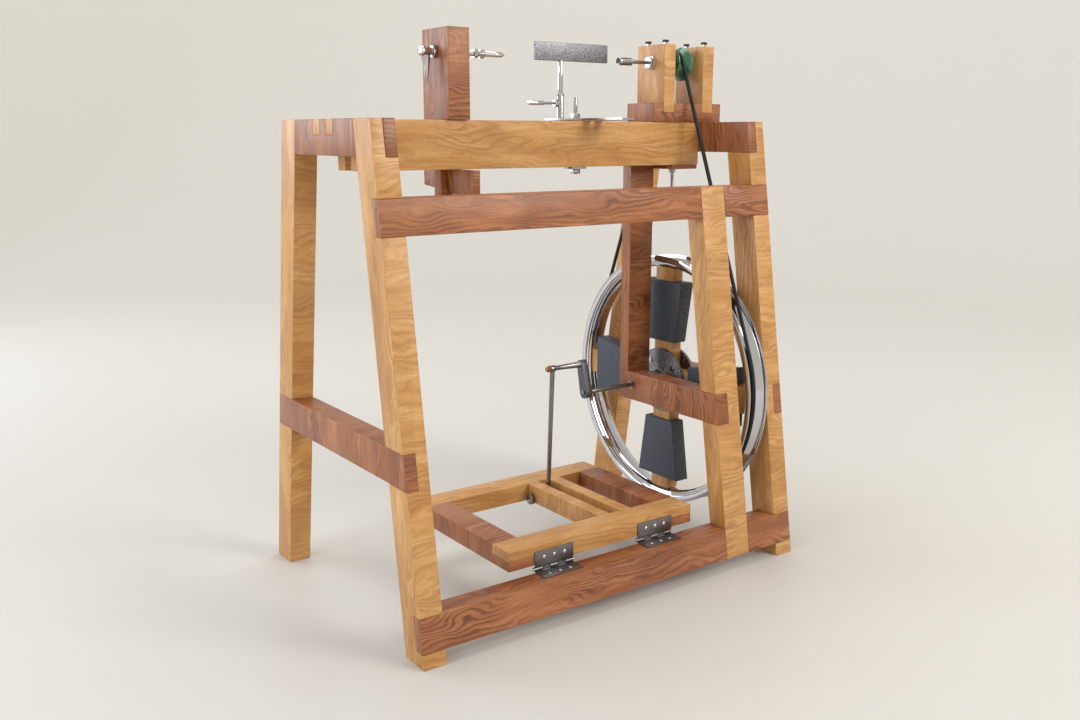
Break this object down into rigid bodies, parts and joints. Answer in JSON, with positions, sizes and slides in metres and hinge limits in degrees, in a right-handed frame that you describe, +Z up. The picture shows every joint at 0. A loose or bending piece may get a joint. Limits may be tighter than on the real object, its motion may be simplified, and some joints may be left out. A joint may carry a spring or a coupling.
{
  "type": "treadle lathe",
  "caption": "Treadle wood lathe: splayed timber frame, slotted bed, weighted flywheel and crank, belt-driven spindle, hinged treadle, wedged tailstock and swivelling tool rest.",
  "frame": {"origin": "floor level, in the middle of the bounding box", "axes": "+Z up; +X along the bed from the tailstock end to the headstock end; +Y towards the turner, away from the stretchers"},
  "size_m": [1.014, 0.6998, 1.181],
  "materials": {
    "oak": "oiled, open figured grain",
    "red_timber": "oiled, dark wavy grain",
    "bright_metal": "bright",
    "steel": "brushed",
    "dark_steel": "darkened, satin",
    "weight": "dark slate, speckled",
    "pulley": "gloss green",
    "belt": "matt black",
    "bush": "turned"
  },
  "bodies": {
    "frame": {"leg_rear_left": "oak", "leg_rear_right": "oak", "leg_front_left": "oak", "leg_front_right": "oak", "top_rail_left": "red_timber", "top_rail_right": "red_timber", "side_rail_left": "red_timber", "side_rail_right": "red_timber", "bed_rail_rear": "oak", "bed_rail_front": "oak", "stretcher_upper": "red_timber", "stretcher_lower": "red_timber", "wheel_post": "oak", "hanging_post": "red_timber", "bearing_rail": "red_timber", "axle_bush": "bush", "drive_belt": "belt", "hinge_leaf_lower_1": "steel", "hinge_leaf_lower_2": "steel", "headstock_base": "red_timber", "headstock_upright_left": "oak", "headstock_upright_right": "oak", "spindle_bearing_left": "bright_metal", "spindle_bearing_right": "bright_metal", "clamp_board": "red_timber", "headstock_bolt": "bright_metal"},
    "flywheel": {"wheel_rim": "bright_metal", "spoke_upright": "oak", "spoke_level": "oak", "weight_front": "weight", "weight_top": "weight", "weight_rear": "weight", "weight_bottom": "weight", "hub_plate_left": "steel", "hub_plate_right": "steel", "axle": "steel", "crank_arm": "dark_steel"},
    "spindle": {"spindle": "bright_metal", "spindle_pulley": "pulley"},
    "treadle": {"treadle_bar_rear": "oak", "treadle_bar_front": "oak", "treadle_bar_left": "red_timber", "treadle_bar_right": "red_timber", "centre_bar_left": "oak", "centre_bar_right": "oak", "hinge_leaf_upper_1": "steel", "hinge_leaf_upper_2": "steel", "pitman_bolt": "dark_steel"},
    "pitman": {"pitman": "dark_steel", "crank_nut": "dark_steel"},
    "tailstock": {"tailstock": "red_timber", "tail_nut": "bright_metal"},
    "wedge": {"tail_wedge": "red_timber"},
    "tail_screw": {"tail_screw": "bright_metal"},
    "tail_handle": {"tail_handle": "bright_metal"},
    "rest_clamp": {"rest_bolt": "bright_metal", "rest_nut": "bright_metal"},
    "rest_base": {"rest_plate": "steel"},
    "tool_post": {"tool_post": "steel"},
    "rest_lever": {"rest_lever": "bright_metal"}
  },
  "joints": [
    {"name": "flywheel_spin", "type": "hinge", "parent": "frame", "child": "flywheel", "pos_m": [0.399, 0, 0.37], "axis": [1, 0, 0], "continuous": true},
    {"name": "spindle_spin", "type": "hinge", "parent": "frame", "child": "spindle", "pos_m": [0.399, 0, 1.135], "axis": [1, 0, 0], "continuous": true},
    {"name": "treadle_rock", "type": "hinge", "parent": "frame", "child": "treadle", "pos_m": [0, -0.279, 0.1025], "axis": [1, 0, 0], "range_deg": [-15, 1]},
    {"name": "pitman_swing", "type": "hinge", "parent": "treadle", "child": "pitman", "pos_m": [0.053, 0.033, 0.121], "axis": [1, 0, 0], "range_deg": [-2, 16]},
    {"name": "tailstock_slide", "type": "slide", "parent": "frame", "child": "tailstock", "axis": [1, 0, 0], "range_m": [-0.15, 0.15]},
    {"name": "wedge_slide", "type": "slide", "parent": "tailstock", "child": "wedge", "axis": [0, -1, 0], "range_m": [0, 0.05]},
    {"name": "tail_screw_advance", "type": "slide", "parent": "tailstock", "child": "tail_screw", "axis": [1, 0, 0], "range_m": [-0.035, 0.0015]},
    {"name": "tail_handle_turn", "type": "hinge", "parent": "tail_screw", "child": "tail_handle", "pos_m": [-0.282, 0, 1.135], "axis": [1, 0, 0], "continuous": true},
    {"name": "rest_slide", "type": "slide", "parent": "frame", "child": "rest_clamp", "axis": [1, 0, 0], "range_m": [-0.12, 0.09]},
    {"name": "rest_swivel", "type": "hinge", "parent": "rest_clamp", "child": "rest_base", "pos_m": [0.103, 0, 1], "axis": [0, 0, 1], "range_deg": [-10, 20]},
    {"name": "tool_post_height", "type": "slide", "parent": "rest_base", "child": "tool_post", "axis": [0, 0, 1], "range_m": [-0.02, 0.005]},
    {"name": "rest_lever_turn", "type": "hinge", "parent": "rest_base", "child": "rest_lever", "pos_m": [0.09002, 0.03994, 1.04], "axis": [1, 0, 0], "range_deg": [-180, 180]}
  ],
  "couplings": [
    {"joint": "spindle_spin", "follows": "flywheel_spin", "ratio": 11.151},
    {"joint": "pitman_swing", "follows": "treadle_rock", "ratio": -1}
  ]
}
